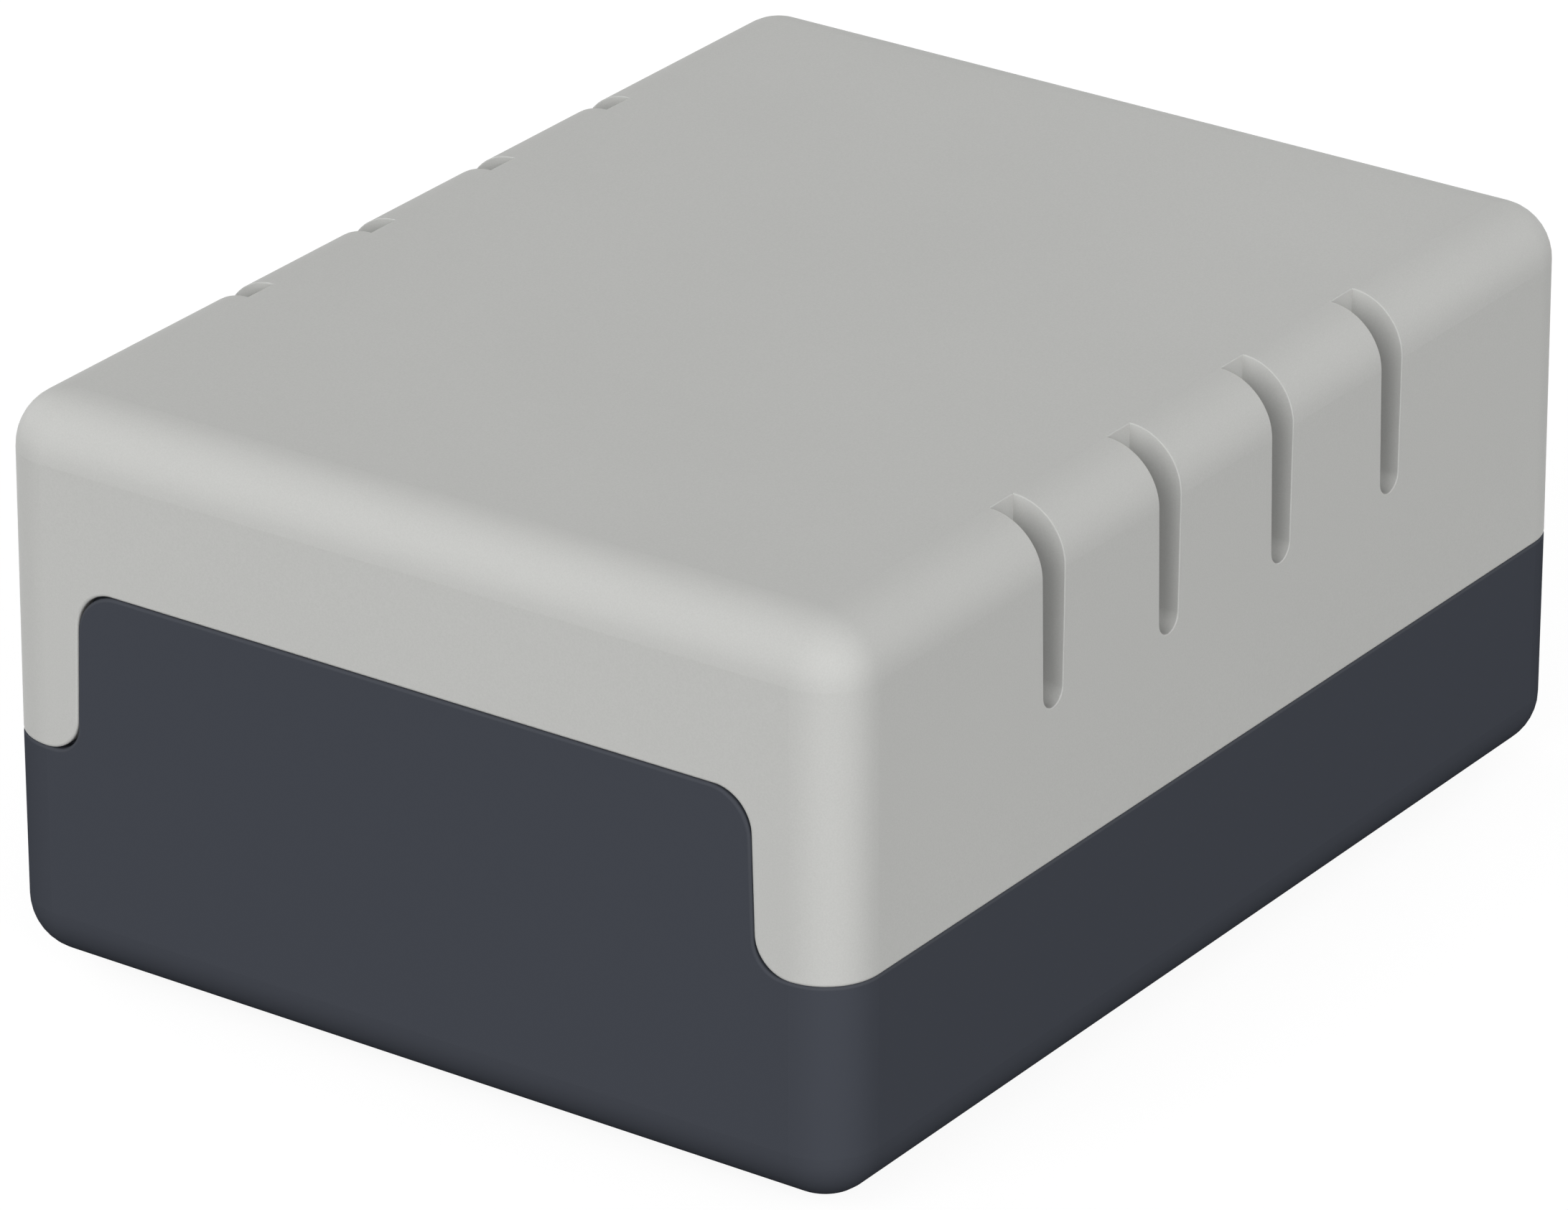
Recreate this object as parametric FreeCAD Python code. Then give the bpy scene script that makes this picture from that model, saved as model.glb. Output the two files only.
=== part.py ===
import FreeCAD, Part
import math
import os

# Plastic project box: a pale upper shell on a dark lower shell, with vent slots over both long edges
# and a raised panel of the lower shell standing in an opening of the upper shell at each end.
# Millimetres, +Z up, -Y is the front end. The origin is the centre of the footprint, at the soles.

Vector = FreeCAD.Vector

# Outside of the closed box, without its feet
body_width = 100.0
body_length = 130.0
base_height = 24.0
cover_height = 36.0
corner_radius = 6.0
edge_radius = 6.0
cover_draft = 0.25

# Shell section
wall = 3.0
inside_radius = 4.5

# Raised end panel of the base, which stands between the corner legs of the cover
leg_width = 9.9
panel_height = 18.0
panel_lean = 2.0
panel_corner_radius = 4.75
panel_foot_radius = 3.2
opening_corner_radius = 4.2
leg_tip_radius = 4.0
seam_gap = 0.05

# Lip round the top of the base, which stands in a rebate of the cover
lip_height = 2.5
lip_thickness = 1.3
lip_clearance = 0.15

# Vent slots, a row along each long side of the cover
slot_count = 4
slot_pitch = 20.0
slot_width = 4.0
slot_draft = 1.1
slot_run_in = 0.15
slot_bottom = 16.2

# Screws that join the shells, from underneath
screw_inset_x = 10.0
screw_inset_y = 10.0
screw_hole = 3.4
screw_well = 6.4
screw_shelf = 3.0
head_diameter = 5.6
head_height = 2.1
head_chamfer = 0.8
screw_core = 2.4
screw_length = 12.0
screw_tip = 1.6
recess_span = 2.9
recess_width = 0.7
recess_depth = 1.2

# Towers of the base and pillars of the cover that the screws pass through
tower_diameter = 9.2
pillar_diameter = 7.2
pilot_hole = 2.5
pilot_depth = 14.0
pillar_draft = 0.5
web_thickness = 1.8
web_drop = 2.0
web_root = 0.8

# Bosses on the floor of the base for a circuit board
boss_spacing_x = 80.0
boss_spacing_y = 90.0
boss_diameter = 6.4
boss_height = 6.0
boss_hole = 2.2

# Rubber feet, each stuck in a round recess under the base
foot_diameter = 10.0
foot_thickness = 2.3
foot_recess = 0.8
foot_clearance = 0.2
foot_bevel = 0.5
foot_inset_x = 20.0
foot_inset_y = 15.0

# Small rounds on the moulded edges that show
seam_round = 0.3
slot_round = 0.1

# The slots end on the flat of the top, just inside the round of the long edge
slot_inset = edge_radius + slot_run_in

# Inner round at the foot of the lip, which is that of the panel less the lip's height
lip_foot_radius = max(panel_foot_radius - lip_height, 0.3)

# Heights above the soles
underside = foot_thickness - foot_recess
parting = underside + base_height
top = parting + cover_height

# Places of the four screws, bosses and feet, front left first
screw_x = body_width / 2 - screw_inset_x
screw_y = body_length / 2 - screw_inset_y
foot_x = body_width / 2 - foot_inset_x
foot_y = body_length / 2 - foot_inset_y
reach = body_width + body_length


def four_places(x, y):
    return {"front_left": (-x, -y), "front_right": (x, -y), "rear_left": (-x, y), "rear_right": (x, y)}


def rise(draft, height):
    """How far a drafted face leans in over a height."""
    return math.tan(math.radians(draft)) * height


def drafted_block(width, length, low, high, draft):
    """A four-sided block with flat faces, width by length at its low end, narrowing upwards."""
    lean = rise(draft, high - low)
    rings = []
    for z, inset in ((low, 0.0), (high, lean)):
        x = width / 2 - inset
        y = length / 2 - inset
        rings.append([Vector(-x, -y, z), Vector(x, -y, z), Vector(x, y, z), Vector(-x, y, z)])
    lower, upper = rings
    loops = [lower[::-1], upper]
    for i in range(4):
        j = (i + 1) % 4
        loops.append([lower[i], lower[j], upper[j], upper[i]])
    faces = [Part.Face(Part.makePolygon(loop + loop[:1])) for loop in loops]
    return Part.Solid(Part.Shell(faces))


def rounded(block, upright_radius, end_radius, round_top):
    """Rounds the upright edges, and the edges of the top or of the underside."""
    box = block.BoundBox
    end = box.ZMax if round_top else box.ZMin
    upright = []
    across = []
    for edge in block.Edges:
        heights = [vertex.Z for vertex in edge.Vertexes]
        if max(heights) - min(heights) > 0.5 * box.ZLength:
            upright.append(edge)
        elif abs(heights[0] - end) < 1e-6:
            across.append(edge)
    if upright_radius == end_radius:
        return block.makeFillet(end_radius, upright + across)
    shape = block.makeFillet(upright_radius, upright)
    rim = [edge for edge in shape.Edges if all(abs(v.Z - end) < 1e-6 for v in edge.Vertexes)]
    return shape.makeFillet(end_radius, rim)


def upright_prism(width, length, radius, low, high):
    """A plain block with rounded upright corners."""
    block = drafted_block(width, length, low, high, 0.0)
    upright = [e for e in block.Edges if abs(e.Vertexes[0].Z - e.Vertexes[1].Z) > 1e-6]
    return block.makeFillet(radius, upright)


def below_panel_line(side_offset, rim, crest, foot_radius, tip_radius):
    """Everything under the seam line of an end view: level at rim, up round the panel to crest.

    The sides lean in, a hollow round joins each to the rim and a full round joins each to the crest.
    """
    lean = math.radians(panel_lean)
    side = body_width / 2 - leg_width + side_offset / math.cos(lean) + math.tan(lean) * parting
    foot_z = rim + foot_radius
    tip_z = crest - tip_radius
    foot_x = side - math.tan(lean) * foot_z + foot_radius / math.cos(lean)
    tip_x = side - math.tan(lean) * tip_z - tip_radius / math.cos(lean)
    turns = (lean, (lean + math.pi / 2) / 2, math.pi / 2)
    foot = [Vector(foot_x - foot_radius * math.cos(t), 0, foot_z - foot_radius * math.sin(t)) for t in turns]
    tip = [Vector(tip_x + tip_radius * math.cos(t), 0, tip_z + tip_radius * math.sin(t)) for t in turns]
    far = Vector(reach, 0, rim)
    deep = Vector(reach, 0, -reach)
    # Right half from the far corner to the middle, then the same mirrored
    corners = [[deep, far], [far, foot[2]], foot[::-1], [foot[0], tip[0]], tip]
    halves = corners + [[Vector(-p.x, 0, p.z) for p in run[::-1]] for run in corners[::-1]]
    middle = [[tip[2], Vector(-tip[2].x, 0, tip[2].z)], [Vector(-deep.x, 0, deep.z), deep]]
    edges = []
    for run in halves + middle:
        curve = Part.Arc(*run) if len(run) == 3 else Part.LineSegment(*run)
        edges.append(curve.toShape())
    face = Part.Face(Part.Wire(Part.__sortEdges__(edges)))
    face.translate(Vector(0, -reach, 0))
    return face.extrude(Vector(0, 2 * reach, 0))


def pillar(x, y, tip, root):
    """A moulded round pillar that hangs from the ceiling, thicker towards its root."""
    radius = pillar_diameter / 2
    return Part.makeCone(radius, radius + rise(pillar_draft, root - tip), root - tip, Vector(x, y, tip))


def web(x, y, to_x, to_y, low, high):
    """A thin upright web from a pillar at x, y to a wall, along one axis."""
    half = web_thickness / 2
    x_low = min(x, to_x) if to_x != x else x - half
    x_high = max(x, to_x) if to_x != x else x + half
    y_low = min(y, to_y) if to_y != y else y - half
    y_high = max(y, to_y) if to_y != y else y + half
    return Part.makeBox(x_high - x_low, y_high - y_low, high - low, Vector(x_low, y_low, low))


def upright_cylinder(x, y, diameter, low, high):
    return Part.makeCylinder(diameter / 2, high - low, Vector(x, y, low))


def skin_edges(shape, outside, open_end, wanted):
    """Edges of shape on the outside skin, less its flat open end, whose middle passes the test wanted."""
    skin = Part.Compound([face for face in outside.Faces if abs(face.CenterOfMass.z - open_end) > 1e-6])
    found = []
    for edge in shape.Edges:
        middle = edge.valueAt((edge.FirstParameter + edge.LastParameter) / 2)
        if wanted(middle) and skin.distToShape(Part.Vertex(middle))[0] < 1e-5:
            found.append(edge)
    return found


def base():
    crest = parting + panel_height
    block = drafted_block(body_width, body_length, underside, crest + 2 * lip_height, 0.0)
    outside = rounded(block, corner_radius, edge_radius, round_top=False)
    hollow_width = body_width - 2 * wall
    hollow_length = body_length - 2 * wall
    block = drafted_block(hollow_width, hollow_length, underside + wall, crest + 2 * lip_height, 0.0)
    hollow = rounded(block, inside_radius, inside_radius, round_top=False)
    panel = below_panel_line(0.0, parting, crest, panel_foot_radius, panel_corner_radius)
    shell = outside.common(panel)
    # The lip stands on the inner part of the wall and follows the seam all the way round
    ring = upright_prism(hollow_width + 2 * lip_thickness, hollow_length + 2 * lip_thickness,
                         inside_radius + lip_thickness, parting - lip_height, crest + 2 * lip_height)
    lip_line = below_panel_line(lip_height, parting + lip_height, crest + lip_height,
                                lip_foot_radius, panel_corner_radius + lip_height)
    shell = shell.fuse(ring.common(lip_line)).cut(hollow)
    floor = underside + wall
    additions = []
    cuts = []
    for x, y in four_places(screw_x, screw_y).values():
        additions.append(upright_cylinder(x, y, tower_diameter, floor - web_root, parting))
        to_x = math.copysign(body_width / 2 - wall + web_root, x)
        to_y = math.copysign(body_length / 2 - wall + web_root, y)
        additions.append(web(x, y, to_x, y, floor - web_root, parting - web_drop))
        additions.append(web(x, y, x, to_y, floor - web_root, parting - web_drop))
        cuts.append(upright_cylinder(x, y, screw_well, 0.0, parting - screw_shelf))
        cuts.append(upright_cylinder(x, y, screw_hole, 0.0, parting + 1.0))
    for x, y in four_places(boss_spacing_x / 2, boss_spacing_y / 2).values():
        additions.append(upright_cylinder(x, y, boss_diameter, floor - web_root, floor + boss_height))
        cuts.append(upright_cylinder(x, y, boss_hole, floor, floor + boss_height + 1.0))
    for x, y in four_places(foot_x, foot_y).values():
        cuts.append(upright_cylinder(x, y, foot_diameter + 2 * foot_clearance, 0.0, underside + foot_recess))
    shell = shell.fuse(additions).cut(cuts).removeSplitter()

    def on_seam(point):
        return point.z > parting - 1e-6

    return shell.makeFillet(seam_round, skin_edges(shell, outside, crest + 2 * lip_height, on_seam))


def vent_slot(y, side):
    """A slot that narrows downwards to a round end, cut in along X over the long top edge."""
    draft = math.radians(slot_draft)
    bottom = parting + slot_bottom
    half = slot_width / 2
    radius = (half * math.cos(draft) - (top - bottom) * math.sin(draft)) / (1 - math.sin(draft))
    centre = bottom + radius
    above = 1.0
    upper = Vector(0, half + rise(slot_draft, above), top + above)
    tangent = Vector(0, radius * math.cos(draft), centre - radius * math.sin(draft))
    lowest = Vector(0, 0, bottom)

    def mirrored(point):
        return Vector(0, -point.y, point.z)

    edges = [
        Part.LineSegment(upper, tangent).toShape(),
        Part.Arc(tangent, lowest, mirrored(tangent)).toShape(),
        Part.LineSegment(mirrored(tangent), mirrored(upper)).toShape(),
        Part.LineSegment(mirrored(upper), upper).toShape(),
    ]
    face = Part.Face(Part.Wire(edges))
    face.translate(Vector(side * (body_width / 2 - slot_inset), y, 0))
    return face.extrude(Vector(side * (slot_inset + wall), 0, 0))


def cover():
    crest = parting + panel_height
    block = drafted_block(body_width, body_length, parting, top, cover_draft)
    outside = rounded(block, corner_radius, edge_radius, round_top=True)
    block = drafted_block(body_width - 2 * wall, body_length - 2 * wall, parting, top - wall, cover_draft)
    hollow = rounded(block, inside_radius, inside_radius, round_top=True)
    opening = below_panel_line(seam_gap, parting, crest + seam_gap, leg_tip_radius, opening_corner_radius)
    grow = lip_height + lip_clearance
    rebate_depth = lip_thickness + lip_clearance
    room = upright_prism(body_width - 2 * wall + 2 * rebate_depth, body_length - 2 * wall + 2 * rebate_depth,
                         inside_radius + rebate_depth, parting, top - wall)
    rebate_line = below_panel_line(grow, parting + grow, crest + grow,
                                   max(lip_foot_radius - lip_clearance, 0.1), panel_corner_radius + grow)
    shell = outside.cut([hollow, opening, room.common(rebate_line)])
    ceiling = top - wall + web_root
    additions = []
    cuts = []
    for x, y in four_places(screw_x, screw_y).values():
        additions.append(pillar(x, y, parting, ceiling))
        to_x = math.copysign(body_width / 2 - wall + web_root, x)
        to_y = math.copysign(body_length / 2 - wall + web_root, y)
        additions.append(web(x, y, to_x, y, parting + grow + web_drop, ceiling))
        additions.append(web(x, y, x, to_y, crest + grow + web_drop, ceiling))
        cuts.append(upright_cylinder(x, y, pilot_hole, parting - 1.0, parting + pilot_depth))
    slot_rows = [(i - (slot_count - 1) / 2) * slot_pitch for i in range(slot_count)]
    slots = [vent_slot(y, side) for y in slot_rows for side in (-1, 1)]
    shell = shell.fuse(additions).cut(cuts + slots).removeSplitter()

    def on_slot(point):
        beside = min(abs(point.y - y) for y in slot_rows) < slot_width / 2 + 0.1
        return beside and abs(point.x) > body_width / 2 - slot_inset - 0.1 and point.z > parting + slot_bottom / 2

    shell = shell.makeFillet(slot_round, skin_edges(shell, outside, parting, on_slot))

    def on_seam(point):
        low = point.z < parting + 1e-6
        beside_panel = abs(point.y) > body_length / 2 - edge_radius and point.z < crest + 1
        return low or beside_panel

    return shell.makeFillet(seam_round, skin_edges(shell, outside, parting, on_seam))


def screw():
    """A pan-head self-tapping screw, pointing up, with its head bearing under the shelf."""
    seat = parting - screw_shelf
    tip = seat + screw_length
    face = seat - head_height
    radius = head_diameter / 2
    profile = [
        Vector(0, 0, tip),
        Vector(screw_core / 2, 0, tip - screw_tip),
        Vector(screw_core / 2, 0, seat),
        Vector(radius, 0, seat),
        Vector(radius, 0, face + head_chamfer),
        Vector(radius - head_chamfer, 0, face),
        Vector(0, 0, face),
    ]
    turned = Part.Face(Part.makePolygon(profile + profile[:1])).revolve(Vector(), Vector(0, 0, 1), 360)
    arms = []
    for span_x, span_y in ((recess_span, recess_width), (recess_width, recess_span)):
        corner = Vector(-span_x / 2, -span_y / 2, face - recess_depth)
        arms.append(Part.makeBox(span_x, span_y, 2 * recess_depth, corner))
    return turned.cut(arms)


def foot():
    """A soft round foot with a bevelled sole, standing in its recess."""
    disc = Part.makeCylinder(foot_diameter / 2, foot_thickness)
    sole = [edge for edge in disc.Edges if edge.BoundBox.ZMax < 1e-6]
    return disc.makeChamfer(foot_bevel, sole)


def placed(shape, x, y):
    copy = shape.copy()
    copy.translate(Vector(x, y, 0))
    return copy


os.makedirs("parts", exist_ok=True)
pieces = {"base": base(), "cover": cover()}
for name, (x, y) in four_places(screw_x, screw_y).items():
    pieces["screw_" + name] = placed(screw(), x, y)
for name, (x, y) in four_places(foot_x, foot_y).items():
    pieces["foot_" + name] = placed(foot(), x, y)
for name, shape in pieces.items():
    solid = shape.Solids[0]
    print(name, "valid", shape.isValid(), "solids", len(shape.Solids), "volume", round(shape.Volume, 1))
    solid.exportStep("parts/" + name + ".step")
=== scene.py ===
import math
import bpy
import numpy as np
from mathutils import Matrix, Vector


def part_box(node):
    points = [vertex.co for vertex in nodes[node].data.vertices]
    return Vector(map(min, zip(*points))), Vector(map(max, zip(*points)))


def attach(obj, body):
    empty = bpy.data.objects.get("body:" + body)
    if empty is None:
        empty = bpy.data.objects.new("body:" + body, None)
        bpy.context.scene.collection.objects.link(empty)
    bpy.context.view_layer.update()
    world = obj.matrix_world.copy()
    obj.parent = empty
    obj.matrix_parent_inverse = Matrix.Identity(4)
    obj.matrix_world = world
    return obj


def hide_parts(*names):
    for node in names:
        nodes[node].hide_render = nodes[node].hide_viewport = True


# A plastic project box: pale cover on a dark base, four screws and four feet underneath.
# The scene is in metres, +Z up, and the front end faces -Y. Lengths in the dictionaries are millimetres.

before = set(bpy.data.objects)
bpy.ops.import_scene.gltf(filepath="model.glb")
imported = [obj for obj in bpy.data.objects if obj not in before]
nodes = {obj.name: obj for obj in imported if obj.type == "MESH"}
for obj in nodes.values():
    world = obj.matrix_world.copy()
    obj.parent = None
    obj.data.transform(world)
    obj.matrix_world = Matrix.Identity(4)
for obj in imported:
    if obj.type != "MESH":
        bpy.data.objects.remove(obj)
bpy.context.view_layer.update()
mm = 0.001
boxCorners = ("front_left", "front_right", "rear_left", "rear_right")


# Node trees

def setInput(tree, socket, value):
    # The value is a number, a colour or another node's output
    if isinstance(value, bpy.types.NodeSocket):
        tree.links.new(value, socket)
    else:
        socket.default_value = value


def setInputs(tree, node, inputs):
    for name, value in inputs.items():
        setInput(tree, node.inputs[name], value)


def addNode(tree, kind, inputs=None, **settings):
    node = tree.nodes.new(kind)
    for name, value in settings.items():
        setattr(node, name, value)
    setInputs(tree, node, inputs or {})
    return node


def combine(tree, operation, first, second, clamp=False):
    node = addNode(tree, "ShaderNodeMath", {0: first, 1: second}, operation=operation, use_clamp=clamp)
    return node.outputs[0]


def opaque(colour):
    return tuple(colour) + (1.0,)


def mixColours(tree, factor, first, second):
    node = addNode(tree, "ShaderNodeMix", data_type="RGBA", blend_type="MIX")
    colours = [socket for socket in node.inputs if socket.type == "RGBA"]
    factors = [socket for socket in node.inputs if socket.type == "VALUE" and socket.name == "Factor"]
    setInput(tree, factors[0], factor)
    setInput(tree, colours[0], first)
    setInput(tree, colours[1], second)
    return [socket for socket in node.outputs if socket.type == "RGBA"][0]


noiseSpan = (0.35, 0.65)    # nearly all of a noise texture's values lie in here


def spread(tree, noise, low, high):
    # Goes from low to high while the noise crosses its span, and stays at either end beyond it
    node = addNode(tree, "ShaderNodeMapRange", {"Value": noise, "From Min": noiseSpan[0],
                                                "From Max": noiseSpan[1], "To Min": low, "To Max": high})
    return node.outputs["Result"]


def addBump(tree, height, depth, strength=1.0):
    node = addNode(tree, "ShaderNodeBump", {"Height": height, "Strength": strength, "Distance": depth * mm})
    return node.outputs["Normal"]


def newGroup(name, inputs, outputs):
    # An input is a name and its default, an output only a name, and all are single numbers
    group = bpy.data.node_groups.new(name, "ShaderNodeTree")
    for label, value in inputs:
        socket = group.interface.new_socket(label, in_out="INPUT", socket_type="NodeSocketFloat")
        socket.default_value = value
    for label in outputs:
        group.interface.new_socket(label, in_out="OUTPUT", socket_type="NodeSocketFloat")
    start = group.nodes.new("NodeGroupInput")
    end = group.nodes.new("NodeGroupOutput")
    return group, start, end


def useGroup(tree, group, inputs):
    return addNode(tree, "ShaderNodeGroup", inputs, node_tree=group)


def newMaterial(name):
    material = bpy.data.materials.new(name)
    material.use_nodes = True
    tree = material.node_tree
    shader = tree.nodes["Principled BSDF"]
    return material, tree, shader


grainLook = {
    "pitSize": 0.25, "pitDetail": 2.0,
    "swellSize": 1.2, "swellDetail": 1.0,
    "driftSize": 35.0, "driftDetail": 3.0,
    "pitShare": 0.75, "swellShare": 0.25,    # of the height
}


def makeGrainGroup(look):
    # Spark-eroded mould grain: fine pits, a softer swell, and slow drifts of tone and gloss
    group, start, end = newGroup(
        "mouldGrain",
        [("Pit size mm", look["pitSize"]), ("Swell size mm", look["swellSize"]),
         ("Drift size mm", look["driftSize"])],
        ["Height", "Speck", "Drift"])
    place = addNode(group, "ShaderNodeTexCoord").outputs["Object"]

    def cloud(sizeName, detail):
        perMetre = combine(group, "DIVIDE", 1.0 / mm, start.outputs[sizeName])
        noise = addNode(group, "ShaderNodeTexNoise", {"Vector": place, "Scale": perMetre, "Detail": detail})
        return noise.outputs["Fac"]

    pits = cloud("Pit size mm", look["pitDetail"])
    swell = cloud("Swell size mm", look["swellDetail"])
    drift = cloud("Drift size mm", look["driftDetail"])
    height = combine(group, "ADD", combine(group, "MULTIPLY", pits, look["pitShare"]),
                     combine(group, "MULTIPLY", swell, look["swellShare"]))
    setInputs(group, end, {"Height": height, "Speck": pits, "Drift": drift})
    return group


edgeLook = {"reach": 0.3, "contrast": 4.0, "samples": 4}


def makeEdgeGroup(look):
    # How far a surface is from flat within a small reach: 0 on faces, towards 1 on sharp edges
    group, start, end = newGroup(
        "edgeMask", [("Reach mm", look["reach"]), ("Contrast", look["contrast"])], ["Edge"])
    radius = combine(group, "MULTIPLY", start.outputs["Reach mm"], mm)
    bent = addNode(group, "ShaderNodeBevel", {"Radius": radius}, samples=look["samples"]).outputs["Normal"]
    flat = addNode(group, "ShaderNodeNewGeometry").outputs["Normal"]
    agree = addNode(group, "ShaderNodeVectorMath", {0: bent, 1: flat}, operation="DOT_PRODUCT")
    turned = combine(group, "SUBTRACT", 1.0, agree.outputs["Value"])
    edge = combine(group, "MULTIPLY", turned, start.outputs["Contrast"], clamp=True)
    setInputs(group, end, {"Edge": edge})
    return group


grainGroup = makeGrainGroup(grainLook)
edgeGroup = makeEdgeGroup(edgeLook)


# Moulded plastic of the two shells, with a painted highlight along the rounded edges. Colours are linear.

coverPlastic = {
    "colour": (0.499, 0.501, 0.487),
    "toneRange": 0.055,                # how much darker the darkest specks are
    "speckle": 0.85,                   # the rest of the tone is slow drift
    "roughness": (0.50, 0.58),
    "specular": 0.1,
    "grainHeight": 0.011,
    "grainSize": 0.16,
    "edgeReach": 0.20,
    "edgeContrast": 6.0,
    "edgeHighlightShare": 0.30,                  # how much of the painted edge highlight a full edge takes
    "edgeHighlightColour": (0.56, 0.562, 0.548),
}

basePlastic = {
    "colour": (0.0530, 0.0580, 0.0708),
    "toneRange": 0.012,
    "speckle": 0.85,
    "roughness": (0.55, 0.65),
    "specular": 0.0,                   # the real one shows no sheen at all, even edge on
    "grainHeight": 0.003,
    "grainSize": 0.20,
    "edgeReach": 0.10,
    "edgeContrast": 120.0,             # enough to show the painted highlight along the fine rounds beside the joint, which also lightens the shade in the groove there
    "edgeHighlightShare": 0.30,
    "edgeHighlightColour": (0.160, 0.160, 0.162),
}


def makePlastic(name, look):
    material, tree, shader = newMaterial(name)
    grain = useGroup(tree, grainGroup, {"Pit size mm": look["grainSize"]}).outputs
    edge = useGroup(tree, edgeGroup, {"Reach mm": look["edgeReach"],
                                      "Contrast": look["edgeContrast"]}).outputs["Edge"]
    tone = combine(tree, "ADD", combine(tree, "MULTIPLY", grain["Drift"], 1.0 - look["speckle"]),
                   combine(tree, "MULTIPLY", grain["Speck"], look["speckle"]))
    darkest = tuple(part * (1.0 - look["toneRange"]) for part in look["colour"])
    body = mixColours(tree, spread(tree, tone, 0.0, 1.0), opaque(darkest), opaque(look["colour"]))
    # Painted highlight: rounded edges are mixed towards a paler colour, as if they caught the light, which
    # also lightens the shade in the joint's groove
    paintedHighlight = combine(tree, "MULTIPLY", edge, look["edgeHighlightShare"])
    low, high = look["roughness"]
    setInputs(tree, shader, {
        "Base Color": mixColours(tree, paintedHighlight, body, opaque(look["edgeHighlightColour"])),
        "Roughness": spread(tree, grain["Drift"], high, low),
        "Normal": addBump(tree, grain["Height"], look["grainHeight"]),
        "Specular IOR Level": look["specular"],
    })
    return material


def setMaterial(piece, material):
    piece.data.materials.clear()
    piece.data.materials.append(material)


setMaterial(nodes["cover"], makePlastic("palePlastic", coverPlastic))
setMaterial(nodes["base"], makePlastic("darkPlastic", basePlastic))
print("shells finished")


# Turned pieces

def turnedPoints(radius, height, turn):
    # x and y are the radius times the cosine and the sine of the turn, and z is the height
    return np.stack([radius * np.cos(turn), radius * np.sin(turn), height * np.ones(turn.size)], -1) * mm


def ringSurface(name, points, material):
    # The points are rows by columns by 3. Each row is one closed ring, and the first and last have shrunk
    # to a point each. Quads join each ring to the next, and a fan of triangles closes each end.
    rows, columns, _ = points.shape
    inner = points[1:-1].reshape(-1, 3)
    vertices = np.vstack([points[0, :1], inner, points[-1, :1]])
    ring = np.arange(columns)
    following = (ring + 1) % columns
    level = 1 + np.arange(rows - 3)[:, None] * columns
    above = level + columns
    quads = np.stack([level + ring, level + following, above + following, above + ring], -1)
    last = len(vertices) - 1
    firstFan = np.stack([np.zeros(columns, int), 1 + following, 1 + ring], -1)
    lastFan = np.stack([np.full(columns, last), last - columns + ring, last - columns + following], -1)
    faces = quads.reshape(-1, 4).tolist() + firstFan.tolist() + lastFan.tolist()
    mesh = bpy.data.meshes.new(name)
    mesh.from_pydata(vertices.tolist(), [], faces)
    mesh.shade_smooth()
    mesh.validate()
    piece = bpy.data.objects.new(name, mesh)
    bpy.context.scene.collection.objects.link(piece)
    setMaterial(piece, material)
    return piece


def nodePlace(name):
    # The middle of a node's footprint, and its lowest and highest corners
    low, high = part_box(name)
    return np.array([(low.x + high.x) / 2, (low.y + high.y) / 2, 0.0]), low, high


screwLook = {
    "headWidth": 5.6, "headHeight": 2.1, "dome": 0.75, "domePower": 3.2, "rimRound": 0.15,
    "crossSpan": 2.9, "crossWidth": 0.62, "crossDepth": 1.15,
    "crossTaper": 0.35,                # share of an arm's width that is gone at its end
    "crossWall": 0.12, "crossRamp": 0.35,
    "neckRound": 0.25, "neckHeight": 0.2, "threadStart": 0.3,
    "coreWidth": 2.35, "threadWidth": 2.45, "pitch": 1.06,
    "ridgeShare": 0.22,                # half of a ridge's foot, as a share of the pitch
    "tipLength": 1.6, "tipPower": 0.8,
    "columns": 120, "faceRows": 56, "rowsPerPitch": 10, "tipRows": 12,
}

steelLook = {
    "coolColour": (0.50, 0.51, 0.54), "warmColour": (0.62, 0.60, 0.54), "driftSize": 2.5,
    "roughness": (0.22, 0.42),
    "ringsPerMetre": 9000.0, "ringDetail": 2.0, "ringHeight": 0.004, "ringStrength": 0.6,
}


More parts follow.
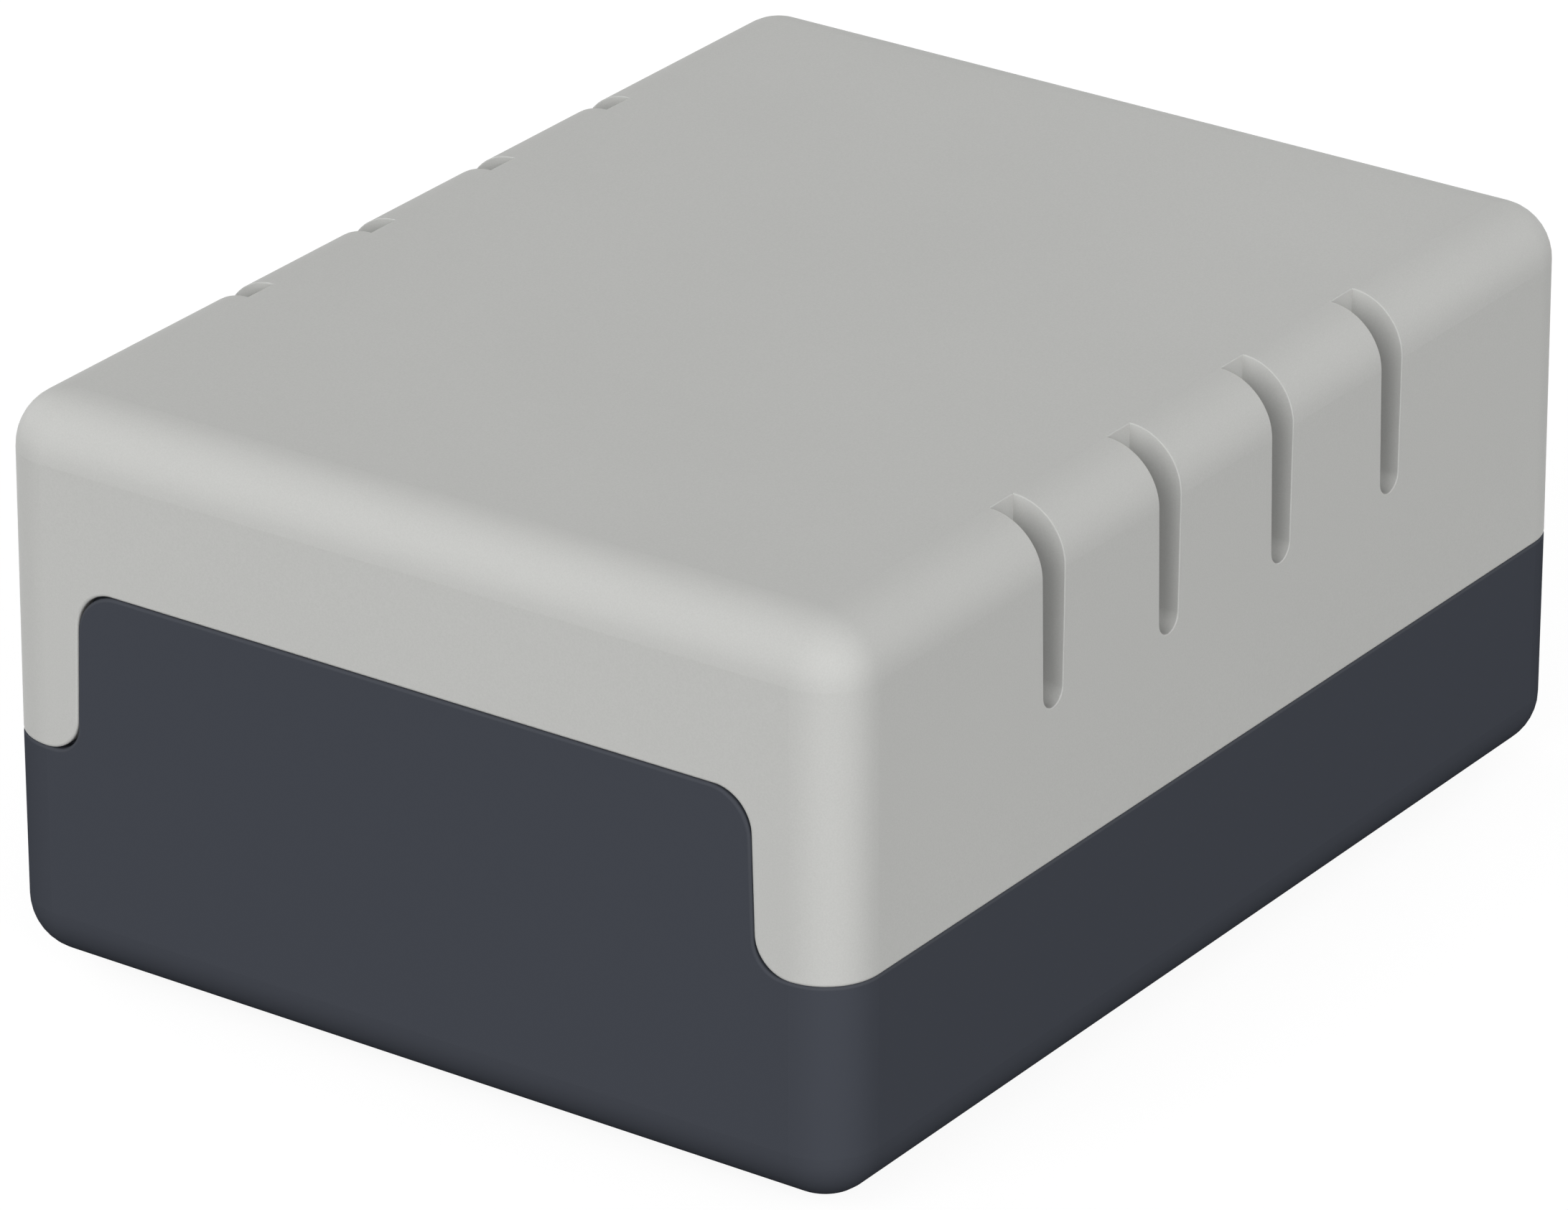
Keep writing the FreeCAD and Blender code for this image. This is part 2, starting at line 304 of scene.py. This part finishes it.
def screwPoints(look, low, high):
    # Rings from the middle of the head's face, over its dome, under the head and up the thread to the point.
    # The dome rises with a power of the radius. The cross is a height field on the face: its depth falls off
    # away from either arm's middle line and at the arms' ends. The thread is a ridge whose place turns once a
    # pitch, and the tip's radius shrinks with a power of what is left of its length.
    turn = np.linspace(0, 2 * math.pi, look["columns"], endpoint=False)
    headRadius = look["headWidth"] / 2
    bottom = low.z / mm
    seat = bottom + look["headHeight"]
    top = high.z / mm
    core = look["coreWidth"] / 2
    thread = look["threadWidth"] / 2
    crossReach = look["crossSpan"] / 2

    def allRound(profile):
        return np.repeat(profile[:, None], look["columns"], 1)

    share = np.linspace(0, 1, look["faceRows"])
    faceRadius = allRound(headRadius * share)
    x = faceRadius * np.cos(turn)
    y = faceRadius * np.sin(turn)
    halfArm = look["crossWidth"] / 2 * (1 - look["crossTaper"] * np.minimum(faceRadius / crossReach, 1))
    across = np.minimum(np.abs(x), np.abs(y))
    along = np.maximum(np.abs(x), np.abs(y))
    side = np.clip((halfArm + look["crossWall"] / 2 - across) / look["crossWall"], 0, 1)
    end = np.clip((crossReach - along) / look["crossRamp"], 0, 1)
    domeHeight = bottom + allRound(look["dome"] * share ** look["domePower"])
    faceHeight = domeHeight + look["crossDepth"] * side * end

    rimRadius = np.array([headRadius, headRadius - look["rimRound"], core + look["neckRound"], core])
    rimHeight = np.array([seat - look["rimRound"], seat, seat, seat + look["neckHeight"]])

    shank = np.arange(seat + look["threadStart"], top - look["tipLength"],
                      look["pitch"] / look["rowsPerPitch"])
    phase = (shank[:, None] / look["pitch"] - turn / (2 * math.pi)) % 1.0
    ridge = np.clip(1 - np.abs(phase - 0.5) / look["ridgeShare"], 0, 1)
    shankRadius = core + (thread - core) * ridge

    left = np.linspace(1, 0, look["tipRows"])
    tipRadius = core * left ** look["tipPower"]
    tipHeight = top - look["tipLength"] * left

    radius = np.vstack([faceRadius, allRound(rimRadius), shankRadius, allRound(tipRadius)])
    height = np.vstack([faceHeight, allRound(rimHeight), allRound(shank), allRound(tipHeight)])
    return turnedPoints(radius, height, turn)


def makeScrewSteel(look, centre):
    # Zinc plate with the fine rings of a turned face, round the screw's own axis
    material, tree, shader = newMaterial("screwSteel")
    place = addNode(tree, "ShaderNodeTexCoord").outputs["Object"]
    centred = addNode(tree, "ShaderNodeMapping", {"Vector": place, "Location": (-centre[0], -centre[1], 0.0)})
    apart = addNode(tree, "ShaderNodeSeparateXYZ", {0: centred.outputs[0]})
    flatPoint = addNode(tree, "ShaderNodeCombineXYZ", {0: apart.outputs[0], 1: apart.outputs[1]})
    distance = addNode(tree, "ShaderNodeVectorMath", {0: flatPoint.outputs[0]}, operation="LENGTH")
    rings = addNode(tree, "ShaderNodeTexNoise",
                    {"W": distance.outputs["Value"], "Scale": look["ringsPerMetre"],
                     "Detail": look["ringDetail"]},
                    noise_dimensions="1D").outputs["Fac"]
    grain = useGroup(tree, grainGroup, {"Drift size mm": look["driftSize"]}).outputs
    low, high = look["roughness"]
    setInputs(tree, shader, {
        "Base Color": mixColours(tree, spread(tree, grain["Drift"], 0.0, 1.0),
                                 opaque(look["coolColour"]), opaque(look["warmColour"])),
        "Roughness": spread(tree, rings, low, high),
        "Normal": addBump(tree, rings, look["ringHeight"], look["ringStrength"]),
        "Metallic": 1.0,
    })
    return material


for corner in boxCorners:
    centre, low, high = nodePlace("screw_" + corner)
    piece = ringSurface("caseScrew_" + corner, screwPoints(screwLook, low, high) + centre,
                        makeScrewSteel(steelLook, centre))
    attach(piece, "root")
    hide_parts("screw_" + corner)
print("screws made")


footLook = {
    "edgeRound": 0.7, "topRound": 0.15, "dish": 0.12, "dishPower": 4, "taper": 0.15,
    "columns": 96, "soleRows": 16, "bendRows": 9, "faceRows": 6,
}

rubberLook = {
    "darkColour": (0.012, 0.012, 0.013), "paleColour": (0.024, 0.024, 0.025), "driftSize": 6.0,
    "roughness": (0.62, 0.78), "grainSize": 0.35, "grainHeight": 0.03,
}


def footPoints(look, low, high):
    # Rings from the middle of the dished sole, round its edge, up the slightly tapered side to the glued
    # face. The sole's hollow falls with a power of the radius, and each edge is a quarter circle.
    turn = np.linspace(0, 2 * math.pi, look["columns"], endpoint=False)
    radius = (high.x - low.x) / 2 / mm
    top = high.z / mm
    bend = np.linspace(0, math.pi / 2, look["bendRows"])
    soleShare = np.linspace(0, 1, look["soleRows"])[:-1]
    soleEdge = radius - look["taper"] - look["edgeRound"]
    soleRadius = soleShare * soleEdge
    soleHeight = look["dish"] * (1 - soleShare ** look["dishPower"])
    roundRadius = soleEdge + look["edgeRound"] * np.sin(bend)
    roundHeight = look["edgeRound"] * (1 - np.cos(bend))
    topRadius = radius - look["topRound"] * (1 - np.cos(bend))
    topHeight = top - look["topRound"] * (1 - np.sin(bend))
    faceRadius = np.linspace(1, 0, look["faceRows"])[1:] * topRadius[-1]
    rings = np.concatenate([soleRadius, roundRadius, topRadius, faceRadius])
    heights = np.concatenate([soleHeight, roundHeight, topHeight, np.full(faceRadius.size, top)])
    return turnedPoints(rings[:, None], heights[:, None], turn)


def makeRubber(look):
    material, tree, shader = newMaterial("footRubber")
    grain = useGroup(tree, grainGroup, {"Pit size mm": look["grainSize"],
                                        "Drift size mm": look["driftSize"]}).outputs
    low, high = look["roughness"]
    setInputs(tree, shader, {
        "Base Color": mixColours(tree, spread(tree, grain["Drift"], 0.0, 1.0),
                                 opaque(look["darkColour"]), opaque(look["paleColour"])),
        "Roughness": spread(tree, grain["Drift"], low, high),
        "Normal": addBump(tree, grain["Height"], look["grainHeight"]),
    })
    return material


footRubber = makeRubber(rubberLook)
for corner in boxCorners:
    centre, low, high = nodePlace("foot_" + corner)
    piece = ringSurface("rubberFoot_" + corner, footPoints(footLook, low, high) + centre, footRubber)
    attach(piece, "root")
    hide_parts("foot_" + corner)
print("feet made")


# Studio

studio = {
    "floorSize": 12000.0,
    "seenAlbedo": 0.15, "seenGlow": 0.90,    # the floor as the camera and reflections see it
    "bounceAlbedo": 0.12,                    # the floor as it lights the object from below
    "seenSky": 1.0, "skyLight": 0.10,        # the sky as they see it, and as it lights the object
    "lampAngle": 50.0,                       # degrees across, which makes each lamp soft
    # Each lamp's bearing from the front end round to the right, its height, both in degrees, and its level
    "lamps": {"frontLamp": (0.0, 25.0, 0.588), "cornerLamp": (55.0, 20.0, 0.560),
              "rightLamp": (90.0, 15.0, 0.271), "leftLamp": (-90.0, 15.0, 0.589),
              "rearLamp": (180.0, 12.0, 0.42)},
}


def grey(level):
    return opaque((level, level, level))


def seenRays(tree):
    # 1 for what the camera sees, straight, in a reflection or through something clear
    rays = addNode(tree, "ShaderNodeLightPath").outputs
    both = combine(tree, "ADD", rays["Is Camera Ray"], rays["Is Glossy Ray"])
    return combine(tree, "ADD", both, rays["Is Transmission Ray"], clamp=True)


def mixShaders(tree, factor, first, second):
    return addNode(tree, "ShaderNodeMixShader", {0: factor, 1: first, 2: second}).outputs[0]


def makeFloor(look):
    half = look["floorSize"] / 2
    square = np.array([(-half, -half, 0), (half, -half, 0), (half, half, 0), (-half, half, 0)]) * mm
    mesh = bpy.data.meshes.new("floor")
    mesh.from_pydata(square.tolist(), [], [(0, 1, 2, 3)])
    floor = bpy.data.objects.new("floor", mesh)
    bpy.context.scene.collection.objects.link(floor)
    material, tree, shader = newMaterial("floorWhite")
    tree.nodes.remove(shader)
    lit = addNode(tree, "ShaderNodeBsdfDiffuse", {"Color": grey(look["seenAlbedo"])}).outputs[0]
    glow = addNode(tree, "ShaderNodeEmission", {"Color": grey(1.0), "Strength": look["seenGlow"]}).outputs[0]
    seen = addNode(tree, "ShaderNodeAddShader", {0: lit, 1: glow}).outputs[0]
    bounce = addNode(tree, "ShaderNodeBsdfDiffuse", {"Color": grey(look["bounceAlbedo"])}).outputs[0]
    above = mixShaders(tree, seenRays(tree), bounce, seen)
    clear = addNode(tree, "ShaderNodeBsdfTransparent").outputs[0]
    fromBelow = addNode(tree, "ShaderNodeNewGeometry").outputs["Backfacing"]
    setInputs(tree, tree.nodes["Material Output"], {"Surface": mixShaders(tree, fromBelow, above, clear)})
    setMaterial(floor, material)


def makeSky(look):
    world = bpy.data.worlds.new("studioSky")
    world.use_nodes = True
    tree = world.node_tree
    tree.nodes.clear()
    dim = addNode(tree, "ShaderNodeBackground", {"Color": grey(1.0), "Strength": look["skyLight"]})
    white = addNode(tree, "ShaderNodeBackground", {"Color": grey(1.0), "Strength": look["seenSky"]})
    mixed = mixShaders(tree, seenRays(tree), dim.outputs[0], white.outputs[0])
    addNode(tree, "ShaderNodeOutputWorld", {"Surface": mixed})
    bpy.context.scene.world = world


def makeLamp(name, look):
    # Parallel light of this power lights a white card that faces it to its level
    bearing, height, level = look["lamps"][name]
    light = bpy.data.lights.new(name, "SUN")
    light.angle = math.radians(look["lampAngle"])
    light.energy = level * math.pi
    lamp = bpy.data.objects.new(name, light)
    lamp.rotation_euler = (math.radians(90.0 - height), 0.0, math.radians(bearing))
    bpy.context.scene.collection.objects.link(lamp)


makeFloor(studio)
makeSky(studio)
for lampName in studio["lamps"]:
    makeLamp(lampName, studio)
print("studio made")


# Camera, at the photograph's place. The pitch is how far it looks down and the yaw how far it turns left from
# facing the rear, in degrees.

view = {
    "place": (502.04, -720.42, 434.71), "pitch": 24.8713, "yaw": 34.978,
    "lens": 222.76, "sensorWidth": 36.0,
    "clipStart": 50.0, "clipEnd": 50000.0,
}

cameraData = bpy.data.cameras.new("photoCamera")
cameraData.lens = view["lens"]
cameraData.sensor_width = view["sensorWidth"]
cameraData.clip_start = view["clipStart"] * mm
cameraData.clip_end = view["clipEnd"] * mm
camera = bpy.data.objects.new("photoCamera", cameraData)
camera.location = np.array(view["place"]) * mm
camera.rotation_euler = (math.radians(90 - view["pitch"]), 0.0, math.radians(view["yaw"]))
bpy.context.scene.collection.objects.link(camera)
bpy.context.scene.camera = camera

bpy.context.scene.view_settings.view_transform = "Standard"
